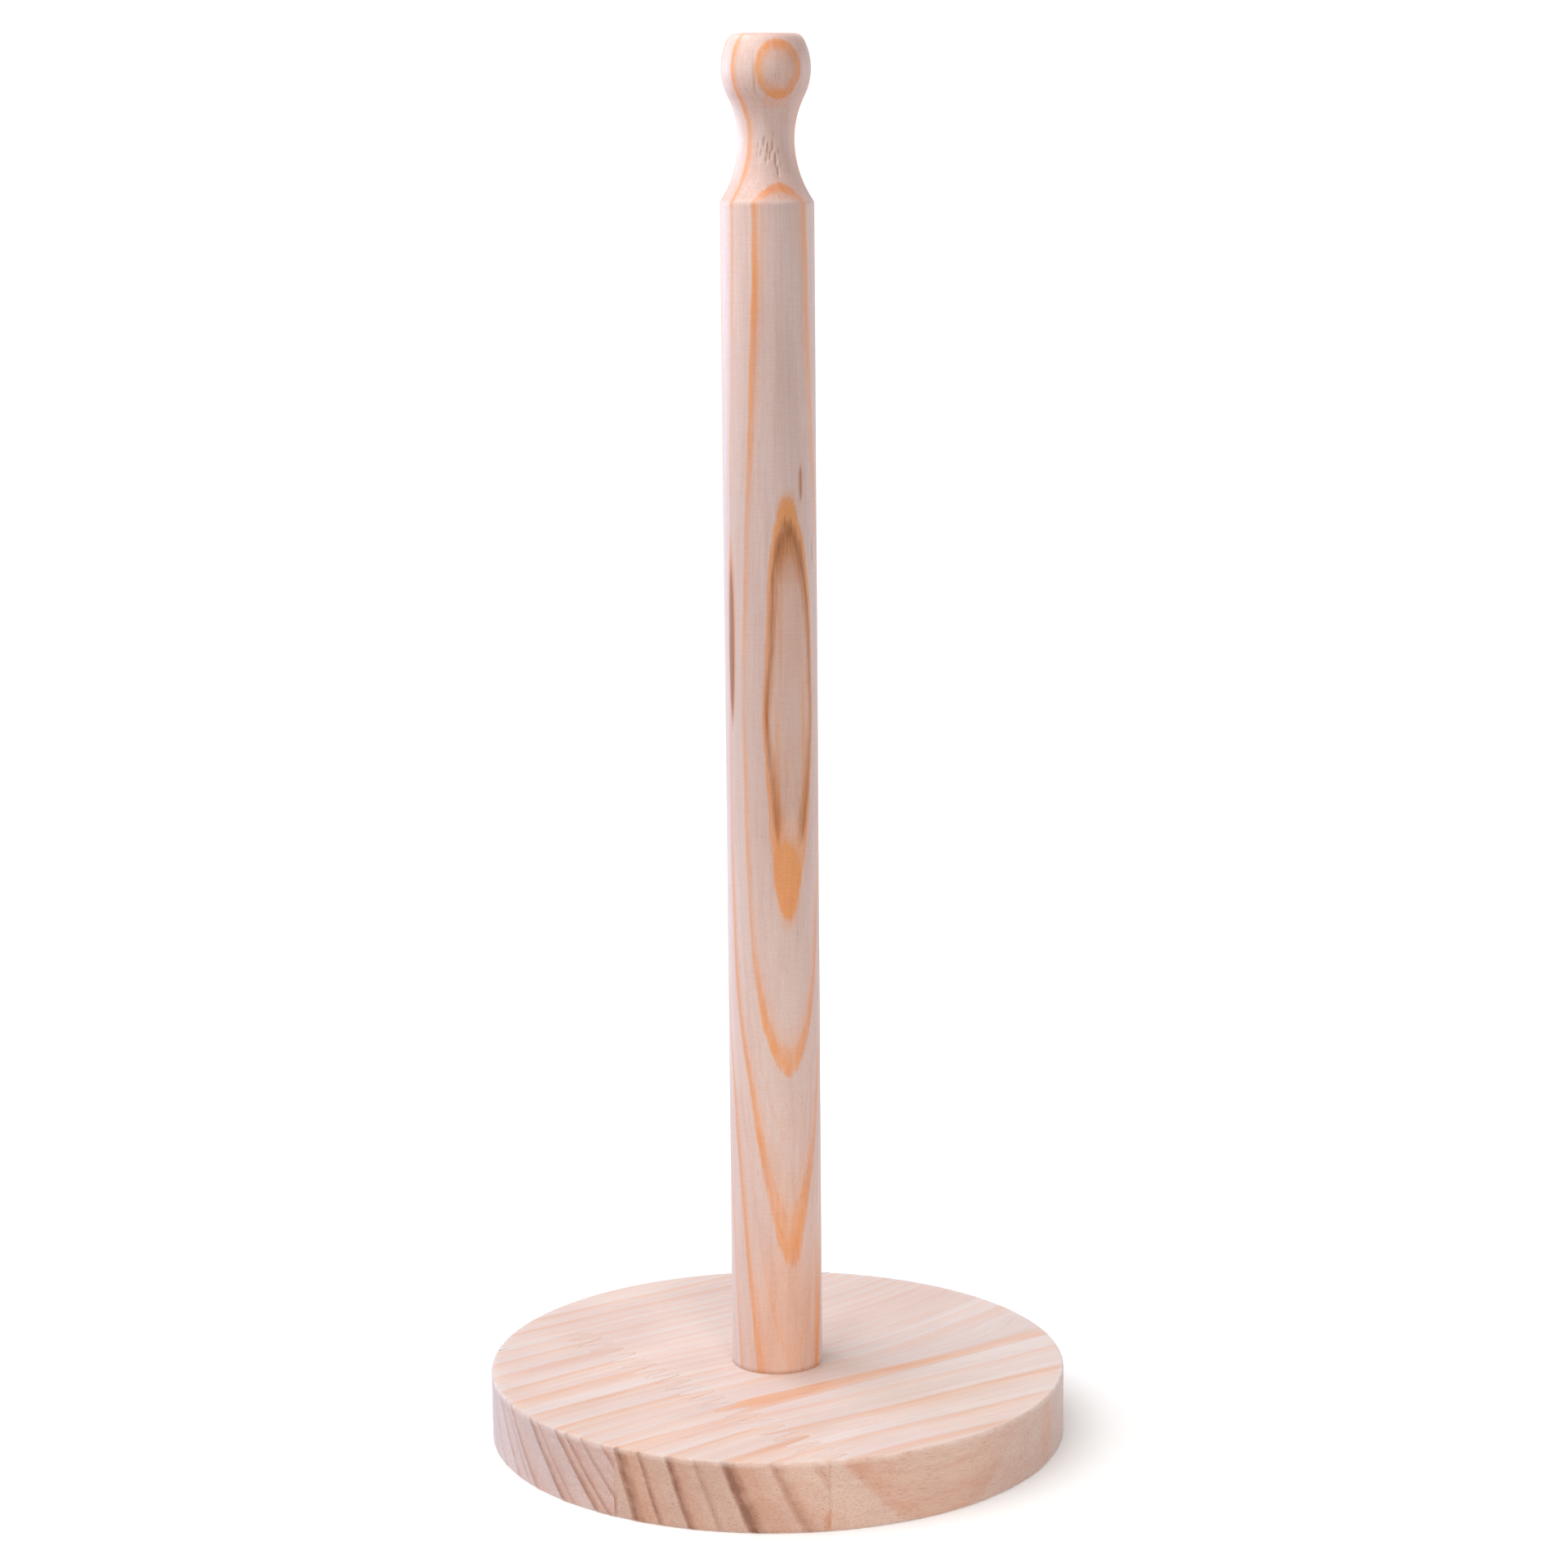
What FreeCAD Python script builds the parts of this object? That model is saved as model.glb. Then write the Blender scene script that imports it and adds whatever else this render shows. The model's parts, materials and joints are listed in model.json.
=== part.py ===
import FreeCAD, Part
import math
import os

import Sketcher

# Upright holder for a roll of paper towels, in millimetres, +Z up.
# Origin: centre of the base's underside, which rests on the counter.
# The round base is cut from a panel of finger-jointed pine staves. One turned post is glued into
# a socket in its top, and a countersunk wood screw from below draws the post down.

SIZES = {
    # round base
    "base_diameter": 140.0,
    "base_thickness": 17.0,
    "base_arris": 0.5,          # narrow chamfer that eases the two rim edges
    # panel that the base is cut from: x along the grain, y across it, turned about Z
    "grain_angle": 36.0,
    "stave_width": 73.0,
    "front_seam": 25.7,         # from the centre to the glue seam in front of it
    "finger_joint": 29.3,       # from the centre to the middle of the finger joints
    "finger_length": 8.0,
    "finger_pitch": 4.9,        # before it is fitted to a whole number of fingers
    "finger_tip": 1.0,          # width of a finger at its end
    # turned post
    "post_diameter": 22.0,
    "post_arris": 0.4,          # chamfer at the end of the foot
    "shoulder_height": 280.4,   # shoulder above the base, the length of a towel roll
    "neck_height": 14.2,        # narrowest place above the shoulder
    "neck_diameter": 13.1,
    "knob_height": 30.4,        # widest place above the shoulder
    "knob_diameter": 20.9,
    "knob_curve": 14.0,         # radius of the knob's side
    "knob_edge": 2.0,           # radius where the side meets the flat top
    "top_height": 38.2,         # flat top above the shoulder
    # how the post stands in the base
    "socket_depth": 6.0,
    "socket_clearance": 0.1,    # radial gap, filled by glue
    "foot_step": 1.0,           # the foot in the socket is turned down this much below the shaft
    # wood screw from below
    "screw_length": 38.0,
    "screw_point": 4.0,         # length of the tapered tip
    "shank_length": 13.0,       # head and plain shank together
    "shank_diameter": 3.9,
    "shank_step": 0.8,          # length of the cone from shank to core
    "core_diameter": 3.0,
    "thread_diameter": 4.5,
    "thread_pitch": 2.0,
    "thread_foot": 1.0,         # width of the thread at its root
    "thread_edge": 0.1,         # width of its sharp edge
    "thread_bite": 0.1,         # how far the thread's root lies inside the core
    "head_diameter": 8.6,
    "head_rim": 0.5,            # straight rim of the head
    "head_recess": 0.6,         # gap between the head and the underside's plane
    "drive_width": 4.6,         # cross recess, tip to tip
    "drive_slot": 1.1,
    "drive_depth": 2.2,
    "hole_clearance": 0.25,     # radial gap around the shank and the head's rim
    "pilot_clearance": 0.05,    # radial gap around the thread
    "pilot_relief": 1.0,        # pilot hole deeper than the point
}


class Size:
    """A length that carries both its number and the sheet formula it comes from."""

    def __init__(self, value, formula):
        self.value = value
        self.formula = formula

    def __add__(self, other):
        return combine(self, other, "+", lambda a, b: a + b)

    def __sub__(self, other):
        return combine(self, other, "-", lambda a, b: a - b)

    def __mul__(self, other):
        return combine(self, other, "*", lambda a, b: a * b)

    def __truediv__(self, other):
        return combine(self, other, "/", lambda a, b: a / b)

    def __neg__(self):
        return ZERO - self

    def root(self):
        return Size(math.sqrt(self.value), "sqrt(%s)" % self.formula)

    def rounded(self):
        return Size(float(round(self.value)), "round(%s)" % self.formula)


def combine(first, second, sign, work):
    if not isinstance(second, Size):
        second = Size(float(second), "%g" % second)
    formula = "(%s %s %s)" % (first.formula, sign, second.formula)
    return Size(work(first.value, second.value), formula)


ZERO = Size(0.0, "0")
PROUD = Size(1.0, "1")          # how far a cutting form stands past the face it opens


def size(name):
    return Size(SIZES[name], "sizes." + name)


def add_sheet(doc):
    sheet = doc.addObject("Spreadsheet::Sheet", "sizes")
    for row, (name, value) in enumerate(SIZES.items(), start=1):
        sheet.set("A%d" % row, name)
        sheet.set("B%d" % row, "%g" % value)
        sheet.setAlias("B%d" % row, name)
    doc.recompute()
    return sheet


# ---- sketching helpers ----

def origin_feature(body, role):
    for feature in body.Origin.OriginFeatures:
        if feature.Role == role:
            return feature
    raise ValueError("no origin feature " + role)


def add_body(doc, name):
    body = doc.addObject("PartDesign::Body", name)
    body.Label = name
    return body


def add_sketch(body, name, plane):
    sketch = body.newObject("Sketcher::SketchObject", name)
    sketch.AttachmentSupport = [(origin_feature(body, plane), "")]
    sketch.MapMode = "FlatFace"
    return sketch


def vector(point):
    return FreeCAD.Vector(point[0].value, point[1].value, 0)


def drive(sketch, kind, where, length):
    """Add a dimension that follows a formula of the sheet."""
    index = sketch.addConstraint(Sketcher.Constraint(kind, *where, length.value))
    sketch.setExpression("Constraints[%d]" % index, length.formula)


def place_point(sketch, edge, end, point):
    """Hold one end of an edge at a point whose coordinates are formulas."""
    for kind, length in (("DistanceX", point[0]), ("DistanceY", point[1])):
        drive(sketch, kind, (-1, 1, edge, end), length)


def draw_polygon(sketch, points):
    """Closed outline whose every corner follows the sheet."""
    count = len(points)
    edges = []
    for index, point in enumerate(points):
        following = points[(index + 1) % count]
        edges.append(sketch.addGeometry(Part.LineSegment(vector(point), vector(following)), False))
    for index, edge in enumerate(edges):
        sketch.addConstraint(Sketcher.Constraint("Coincident", edge, 2, edges[(index + 1) % count], 1))
        place_point(sketch, edge, 1, points[index])
    return edges


def draw_circle(sketch, radius):
    circle = Part.Circle(FreeCAD.Vector(0, 0, 0), FreeCAD.Vector(0, 0, 1), radius.value)
    edge = sketch.addGeometry(circle, False)
    sketch.addConstraint(Sketcher.Constraint("Coincident", edge, 3, -1, 1))
    drive(sketch, "Radius", (edge,), radius)
    return edge


def add_pad(body, name, sketch, length):
    pad = body.newObject("PartDesign::Pad", name)
    pad.Profile = sketch
    pad.setExpression("Length", length.formula)
    return pad


def add_pocket(body, name, sketch, depth):
    """Cut upwards from the sketch, into the body."""
    pocket = body.newObject("PartDesign::Pocket", name)
    pocket.Profile = sketch
    pocket.Reversed = True
    pocket.setExpression("Length", depth.formula)
    return pocket


def spin(body, kind, name, sketch):
    """Revolution or groove about the sketch's vertical axis."""
    feature = body.newObject("PartDesign::" + kind, name)
    feature.Profile = sketch
    feature.ReferenceAxis = (sketch, ["V_Axis"])
    feature.Angle = 360
    return feature


def repeat(body, name, feature, axis, pitch, count):
    pattern = body.newObject("PartDesign::LinearPattern", name)
    pattern.Originals = [feature]
    pattern.Direction = (origin_feature(body, axis), [""])
    pattern.Mode = "Spacing"
    pattern.setExpression("Offset", pitch.formula)
    pattern.setExpression("Occurrences", count.formula)
    body.Tip = pattern
    return pattern


# ---- the base panel ----

def draw_finger(sketch, start, pitch):
    """Tapered finger pointing along the grain, the first of a row."""
    half_tip = size("finger_tip") / 2
    root = -(size("finger_joint") + size("finger_length") / 2)
    tip = root + size("finger_length")
    draw_polygon(sketch, [
        (root, start + half_tip),
        (tip, start + pitch / 2 - half_tip),
        (tip, start + pitch / 2 + half_tip),
        (root, start + pitch - half_tip),
    ])


def stave_blank(doc, name, row_start, row_end, side, fingers_from):
    """Stave before the disc is cut: side is 'left' or 'right' of the finger joint, or 'whole'."""
    body = add_body(doc, name + "_blank")
    reach = size("base_diameter")
    root = -(size("finger_joint") + size("finger_length") / 2)
    start = root if side == "right" else -reach
    end = root if side == "left" else reach
    outline = add_sketch(body, name + "_outline", "XY_Plane")
    draw_polygon(outline, [(start, row_start), (end, row_start), (end, row_end), (start, row_end)])
    add_pad(body, name + "_board", outline, size("base_thickness"))
    if side != "whole":
        count = ((row_end - fingers_from) / size("finger_pitch")).rounded()
        pitch = (row_end - fingers_from) / count
        finger = add_sketch(body, name + "_finger", "XY_Plane")
        draw_finger(finger, fingers_from, pitch)
        if side == "left":
            first = add_pad(body, name + "_first", finger, size("base_thickness"))
        else:
            first = add_pocket(body, name + "_first", finger, size("base_thickness"))
        repeat(body, name + "_fingers", first, "Y_Axis", pitch, count)
    body.setExpression("Placement.Rotation.Angle", size("grain_angle").formula)
    return body


def add_disc(doc):
    """Outside of the finished base, with its eased rim edges."""
    body = add_body(doc, "disc")
    radius = size("base_diameter") / 2
    top = size("base_thickness")
    arris = size("base_arris")
    outline = add_sketch(body, "disc_outline", "XZ_Plane")
    draw_polygon(outline, [
        (ZERO, ZERO),
        (radius - arris, ZERO),
        (radius, arris),
        (radius, top - arris),
        (radius - arris, top),
        (ZERO, top),
    ])
    spin(body, "Revolution", "disc_form", outline)
    body.setExpression("Placement.Rotation.Angle", size("grain_angle").formula)
    return body


def cut_to_disc(doc, name, blank, disc):
    stave = doc.addObject("Part::MultiCommon", name)
    stave.Shapes = [blank, disc]
    return stave


def post_seat(doc):
    """Socket for the post, with the screw's clearance hole and countersink below it."""
    body = add_body(doc, "post_seat")
    hole = size("thread_diameter") / 2 + size("hole_clearance")
    sink = size("head_diameter") / 2 + size("hole_clearance")
    # the countersink is the head's own cone, so the head bears on it
    sink_start = size("head_recess") + size("head_rim") - size("hole_clearance")
    web = size("base_thickness") - size("socket_depth")
    socket = size("post_diameter") / 2 - size("foot_step") + size("socket_clearance")
    top = size("base_thickness") + PROUD
    outline = add_sketch(body, "post_seat_outline", "XZ_Plane")
    draw_polygon(outline, [
        (ZERO, -PROUD),
        (sink, -PROUD),
        (sink, sink_start),
        (hole, sink_start + sink - hole),
        (hole, web),
        (socket, web),
        (socket, top),
        (ZERO, top),
    ])
    spin(body, "Revolution", "post_seat_form", outline)
    return body


def add_base(doc):
    """Five staves, in the order of their rows from front to back."""
    disc = add_disc(doc)
    radius = size("base_diameter") / 2
    seams = [
        -size("front_seam") - size("stave_width"),
        -size("front_seam"),
        -size("front_seam") + size("stave_width"),
        -size("front_seam") + size("stave_width") * 2,
    ]
    # where the rim crosses the finger joint: a gap between two fingers, so none is cut off its stave
    crossing = -(radius * radius - size("finger_joint") * size("finger_joint")).root()
    rows = [
        ("base_stave_front_left", seams[0], seams[1], "left", crossing),
        ("base_stave_front_right", seams[0], seams[1], "right", crossing),
        ("base_stave_middle_left", seams[1], seams[2], "left", seams[1]),
        ("base_stave_middle_right", seams[1], seams[2], "right", seams[1]),
        ("base_stave_back", seams[2], seams[3], "whole", None),
    ]
    staves = {}
    for name, row_start, row_end, side, fingers_from in rows:
        blank = stave_blank(doc, name, row_start, row_end, side, fingers_from)
        staves[name] = cut_to_disc(doc, name, blank, disc)
    uncut = staves["base_stave_middle_right"]
    uncut.Label = "middle_right_uncut"
    seated = doc.addObject("Part::Cut", "base_stave_middle_right_seated")
    seated.Base = uncut
    seated.Tool = post_seat(doc)
    staves["base_stave_middle_right"] = seated
    return staves


# ---- the turned post ----

def arc(centre, radius, start, end):
    """Arc about a centre, anticlockwise from the start point to the end point."""
    circle = Part.Circle(centre, FreeCAD.Vector(0, 0, 1), radius)
    return Part.ArcOfCircle(circle, circle.parameter(start), circle.parameter(end))


def draw_post(sketch, foot):
    """Half section of the post: foot, shaft, hollow neck, round knob, flat top. foot is its height."""
    shaft = size("post_diameter") / 2
    tenon = shaft - size("foot_step")
    arris = size("post_arris")
    shoulder = foot + size("shoulder_height")
    neck = size("neck_diameter") / 2
    neck_at = shoulder + size("neck_height")
    knob = size("knob_diameter") / 2
    knob_at = shoulder + size("knob_height")
    curve = size("knob_curve")
    edge = size("knob_edge")
    top = shoulder + size("top_height")

    # starting positions of the arcs, which the constraints then hold
    spread = shaft.value - neck.value
    lower = (spread ** 2 + size("neck_height").value ** 2) / (2 * spread)
    knob_centre = FreeCAD.Vector(knob.value - curve.value, knob_at.value, 0)
    gap = neck.value - knob_centre.x
    rise = knob_at.value - neck_at.value
    upper = (gap ** 2 + rise ** 2 - curve.value ** 2) / (2 * (curve.value - gap))
    lower_centre = FreeCAD.Vector(neck.value + lower, neck_at.value, 0)
    upper_centre = FreeCAD.Vector(neck.value + upper, neck_at.value, 0)
    edge_y = top.value - edge.value
    reach = curve.value - edge.value
    edge_x = knob_centre.x + math.sqrt(reach ** 2 - (edge_y - knob_centre.y) ** 2)
    edge_centre = FreeCAD.Vector(edge_x, edge_y, 0)

    corner = FreeCAD.Vector(shaft.value, shoulder.value, 0)
    waist = FreeCAD.Vector(neck.value, neck_at.value, 0)
    sway = upper_centre + (knob_centre - upper_centre).normalize() * upper
    crest = knob_centre + (edge_centre - knob_centre).normalize() * curve.value
    brow = FreeCAD.Vector(edge_x, top.value, 0)
    axis_top = FreeCAD.Vector(0, top.value, 0)

    corners = [
        (ZERO, ZERO),
        (tenon - arris, ZERO),
        (tenon, arris),
        (tenon, foot),
        (shaft, foot),
        (shaft, shoulder),
    ]
    lines = []
    for first, second in zip(corners, corners[1:]):
        lines.append(sketch.addGeometry(Part.LineSegment(vector(first), vector(second)), False))
    lower_arc = sketch.addGeometry(arc(lower_centre, lower, waist, corner), False)
    upper_arc = sketch.addGeometry(arc(upper_centre, upper, sway, waist), False)
    knob_arc = sketch.addGeometry(arc(knob_centre, curve.value, sway, crest), False)
    edge_arc = sketch.addGeometry(arc(edge_centre, edge.value, crest, brow), False)
    flat = sketch.addGeometry(Part.LineSegment(brow, axis_top), False)
    axis = sketch.addGeometry(Part.LineSegment(axis_top, FreeCAD.Vector(0, 0, 0)), False)

    joints = [("Coincident", low, 2, high, 1) for low, high in zip(lines, lines[1:])]
    joints += [
        ("Coincident", lines[-1], 2, lower_arc, 2),
        ("Tangent", lower_arc, 1, upper_arc, 2),
        ("Tangent", upper_arc, 1, knob_arc, 1),
        ("Tangent", knob_arc, 2, edge_arc, 1),
        ("Tangent", edge_arc, 2, flat, 1),
        ("Coincident", flat, 2, axis, 1),
        ("Coincident", axis, 2, lines[0], 1),
        ("Vertical", axis),
        ("Horizontal", flat),
    ]
    for joint in joints:
        sketch.addConstraint(Sketcher.Constraint(*joint))
    for line, point in zip(lines, corners):
        place_point(sketch, line, 1, point)
    place_point(sketch, lines[-1], 2, (shaft, shoulder))
    place_point(sketch, lower_arc, 1, (neck, neck_at))
    drive(sketch, "DistanceY", (-1, 1, lower_arc, 3), neck_at)
    place_point(sketch, knob_arc, 3, (knob - curve, knob_at))
    drive(sketch, "Radius", (knob_arc,), curve)
    drive(sketch, "Radius", (edge_arc,), edge)
    drive(sketch, "DistanceY", (-1, 1, flat, 2), top)


def add_post(doc):
    """Post standing in its socket, bored from below for the screw's thread."""
    body = add_body(doc, "post")
    section = add_sketch(body, "post_section", "XZ_Plane")
    draw_post(section, size("socket_depth"))
    spin(body, "Revolution", "post_turning", section)
    pilot = add_sketch(body, "post_pilot_circle", "XY_Plane")
    draw_circle(pilot, size("thread_diameter") / 2 + size("pilot_clearance"))
    foot = size("base_thickness") - size("socket_depth")
    depth = size("head_recess") + size("screw_length") + size("pilot_relief") - foot
    add_pocket(body, "post_pilot", pilot, depth)
    body.setExpression("Placement.Base.z", foot.formula)
    return body


# ---- the screw ----

def draw_screw(sketch):
    """Half section of head, plain shank, thread core and point, upwards from the head."""
    head = size("head_diameter") / 2
    core = size("core_diameter") / 2
    shank = size("shank_diameter") / 2
    neck = size("head_rim") + head - shank
    length = size("screw_length")
    draw_polygon(sketch, [
        (ZERO, ZERO),
        (head, ZERO),
        (head, size("head_rim")),
        (shank, neck),
        (shank, size("shank_length")),
        (core, size("shank_length") + size("shank_step")),
        (core, length - size("screw_point")),
        (ZERO, length),
    ])


def draw_thread(sketch):
    """Tooth of the thread at its first turn, its root sunk a little into the core."""
    root = size("core_diameter") / 2 - size("thread_bite")
    crest = size("thread_diameter") / 2
    start = size("shank_length") + size("shank_step") * 1.5
    middle = start + size("thread_foot") / 2
    half_edge = size("thread_edge") / 2
    draw_polygon(sketch, [
        (root, start),
        (crest, middle - half_edge),
        (crest, middle + half_edge),
        (root, start + size("thread_foot")),
    ])


def add_screw(doc):
    """Countersunk screw with a cross recess, its head sunk just inside the underside."""
    body = add_body(doc, "base_screw")
    section = add_sketch(body, "screw_section", "XZ_Plane")
    draw_screw(section)
    spin(body, "Revolution", "screw_turning", section)
    tooth = add_sketch(body, "screw_tooth", "XZ_Plane")
    draw_thread(tooth)
    thread = body.newObject("PartDesign::AdditiveHelix", "screw_thread")
    thread.Profile = tooth
    thread.ReferenceAxis = (tooth, ["V_Axis"])
    thread.Mode = "pitch-height-angle"
    thread.setExpression("Pitch", size("thread_pitch").formula)
    threaded = size("screw_length") - size("screw_point") - size("shank_length")
    run = threaded - size("thread_foot") - size("shank_step") * 2
    thread.setExpression("Height", run.formula)
    slot = size("drive_slot") / 2
    arm = size("drive_width") / 2
    for name, wide, deep in (("drive_across", arm, slot), ("drive_along", slot, arm)):
        cross = add_sketch(body, name + "_outline", "XY_Plane")
        draw_polygon(cross, [(-wide, -deep), (wide, -deep), (wide, deep), (-wide, deep)])
        add_pocket(body, name, cross, size("drive_depth"))
    body.setExpression("Placement.Base.z", size("head_recess").formula)
    return body


# ---- the whole holder ----

def check(doc, pieces):
    for item in doc.Objects:
        for fault in ("Invalid", "Error"):
            if fault in item.State:
                raise RuntimeError("%s is %s" % (item.Label, item.State))
    for name, piece in pieces.items():
        if piece.Shape.isNull() or not piece.Shape.isValid():
            raise RuntimeError(name + " has no valid shape")
        if len(piece.Shape.Solids) != 1:
            raise RuntimeError("%s is %d solids" % (name, len(piece.Shape.Solids)))
        print("%-28s %10.1f mm3" % (name, piece.Shape.Volume))


def main():
    doc = FreeCAD.newDocument("paper_towel_holder")
    add_sheet(doc)
    pieces = add_base(doc)
    pieces["post"] = add_post(doc)
    pieces["base_screw"] = add_screw(doc)
    for name, piece in pieces.items():
        piece.Label = name
    doc.recompute()
    check(doc, pieces)
    os.makedirs("parts", exist_ok=True)
    for name, piece in pieces.items():
        piece.Shape.exportStep(os.path.join("parts", name + ".step"))


main()
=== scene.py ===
import json
import math

import bmesh
import bpy
import numpy as np
from mathutils import Matrix, Vector


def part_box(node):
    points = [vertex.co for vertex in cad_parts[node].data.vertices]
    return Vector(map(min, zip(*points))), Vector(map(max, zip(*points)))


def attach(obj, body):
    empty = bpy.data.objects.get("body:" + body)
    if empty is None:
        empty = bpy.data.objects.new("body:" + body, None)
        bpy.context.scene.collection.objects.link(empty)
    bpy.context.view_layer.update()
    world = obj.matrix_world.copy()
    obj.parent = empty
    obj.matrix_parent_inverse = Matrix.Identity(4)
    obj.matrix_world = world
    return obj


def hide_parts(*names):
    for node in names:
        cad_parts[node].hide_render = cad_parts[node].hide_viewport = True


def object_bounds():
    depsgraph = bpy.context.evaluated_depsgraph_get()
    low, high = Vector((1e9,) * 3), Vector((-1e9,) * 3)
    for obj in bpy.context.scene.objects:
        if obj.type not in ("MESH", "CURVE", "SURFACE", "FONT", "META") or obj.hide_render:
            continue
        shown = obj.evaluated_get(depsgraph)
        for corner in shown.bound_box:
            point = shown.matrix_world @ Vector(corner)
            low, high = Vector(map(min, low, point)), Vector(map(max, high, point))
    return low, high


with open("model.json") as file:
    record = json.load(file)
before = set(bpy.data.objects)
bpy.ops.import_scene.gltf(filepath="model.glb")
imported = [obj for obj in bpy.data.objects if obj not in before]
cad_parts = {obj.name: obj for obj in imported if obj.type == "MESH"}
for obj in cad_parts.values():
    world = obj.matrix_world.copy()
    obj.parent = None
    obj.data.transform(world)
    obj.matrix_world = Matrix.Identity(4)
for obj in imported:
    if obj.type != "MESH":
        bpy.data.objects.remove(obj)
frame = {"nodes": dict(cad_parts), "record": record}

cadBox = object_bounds()
mm = 0.001                                        # the model is in metres
print("frame loaded:", sorted(frame["nodes"]))

# places read from the CAD model, in mm
postLow, postHigh = (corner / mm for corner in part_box("post"))
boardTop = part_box("base_stave_back")[1].z / mm
baseRadius = cadBox[1].x / mm
shaftRadius = postHigh.x
rollMount = next(m for m in frame["record"]["mounts"] if m["name"] == "roll_post")
shoulderAt = rollMount["pos_m"][2] / mm + rollMount["dims"]["length_mm"] / 2


def newObject(name, data):
    thing = bpy.data.objects.new(name, data)
    bpy.context.scene.collection.objects.link(thing)
    return thing


def newMaterial(name):
    material = bpy.data.materials.new(name)
    material.use_nodes = True
    material.node_tree.nodes.clear()
    return material, material.node_tree


# helpers for node trees: a value may be a number, a colour or another node's socket

def addNode(tree, kind, feeds=None, **settings):
    node = tree.nodes.new(kind)
    for name, value in settings.items():
        setattr(node, name, value)
    for key, value in (feeds or {}).items():
        if isinstance(value, bpy.types.NodeSocket):
            tree.links.new(value, node.inputs[key])
        else:
            node.inputs[key].default_value = value
    return node


def calc(tree, operation, first, second, clamp=False):
    return addNode(tree, "ShaderNodeMath", {0: first, 1: second},
                   operation=operation, use_clamp=clamp).outputs[0]


def times(tree, first, *others):
    for other in others:
        first = calc(tree, "MULTIPLY", first, other)
    return first


def stretch(tree, vector, scale, shift=(0.0, 0.0, 0.0)):
    return addNode(tree, "ShaderNodeMapping", {
        "Vector": vector, "Scale": scale, "Location": shift}).outputs[0]


def noise(tree, vector, scale=1.0, detail=3.0, roughness=0.55):
    return addNode(tree, "ShaderNodeTexNoise", {
        "Vector": vector, "Scale": scale, "Detail": detail,
        "Roughness": roughness}).outputs["Fac"]


def spread(tree, value, low, high, newLow=0.0, newHigh=1.0):
    return addNode(tree, "ShaderNodeMapRange", {
        "Value": value, "From Min": low, "From Max": high,
        "To Min": newLow, "To Max": newHigh}).outputs[0]


def blend(tree, mode, amount, first, second):
    # sockets 6 and 7 of a Mix node are its two colours, and output 2 is the mixed one
    return addNode(tree, "ShaderNodeMix", {0: amount, 6: first, 7: second},
                   data_type="RGBA", blend_type=mode).outputs[2]


def shade(tree, color, tone, *amounts):
    # darken a colour towards a tone, by the product of the amounts
    return blend(tree, "MULTIPLY", times(tree, *amounts), color, tone)


def newGroup(name, inputs, outputs, kind="ShaderNodeTree"):
    # each input and output is (label, kind of socket, and its starting value if it has one)
    group = bpy.data.node_groups.new(name, kind)
    for side, sockets in (("INPUT", inputs), ("OUTPUT", outputs)):
        for label, socketKind, *value in sockets:
            socket = group.interface.new_socket(
                name=label, in_out=side, socket_type="NodeSocket" + socketKind)
            if value:
                socket.default_value = value[0]
    given = group.nodes.new("NodeGroupInput").outputs
    return group, given, group.nodes.new("NodeGroupOutput").inputs


def rgb(red, green, blue):
    # everyday 0 to 255 colour to the linear value that sockets take
    def linear(part):
        part = part / 255
        return part / 12.92 if part <= 0.04045 else ((part + 0.055) / 1.055) ** 2.4
    return (linear(red), linear(green), linear(blue), 1.0)


# growth rings: each is (depth in mm, width in mm, amber 0 to 1, brown 0 to 1)

ringRamp = {
    "swellEase": 1.5,          # the larger, the paler the amber is before the ring itself
    "stopGap": 0.01,           # least distance between two stops, mm
    "margin": 0.5,             # plain wood past the outer stops, mm
    "ringsEach": 5,            # rings on one ramp: six stops each, and a ramp holds 32
}


def ringStops(rings, lead):
    # amber swells over the lead, brown follows, and both stop short
    # a negative lead faces the other way
    way = 1 if lead > 0 else -1
    swell = abs(lead)
    firstAmber = swell / (swell + ringRamp["swellEase"])
    # (distance from the middle in ring widths, share of the amber, share of the brown)
    profile = [(-0.5 - swell, 0, 0), (-0.5, firstAmber, 0.1), (-0.15, 0.85, 0.5),
               (0.15, 1, 1), (0.32, 0.75, 0.7), (0.5, 0, 0)]
    single = []
    for depth, width, amber, brown in rings:
        stops = [(depth + way * offset * width, amber * amberShare, brown * brownShare)
                 for offset, amberShare, brownShare in profile]
        single.append(np.array(sorted(stops)))
    # where rings overlap, the stronger one shows
    ordered = []
    for place in np.sort(np.concatenate([stops[:, 0] for stops in single])):
        if ordered:
            place = max(place, ordered[-1][0] + ringRamp["stopGap"])
        amber = max(np.interp(place, stops[:, 0], stops[:, 1]) for stops in single)
        brown = max(np.interp(place, stops[:, 0], stops[:, 2]) for stops in single)
        ordered.append((place, amber, brown))
    return ordered


def lateWood(depth, rings, lead):
    # how much late wood there is at each depth, 0 to 1
    stops = ringStops(rings, lead)
    return np.interp(depth, [stop[0] for stop in stops], [max(stop[1:]) for stop in stops])


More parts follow.
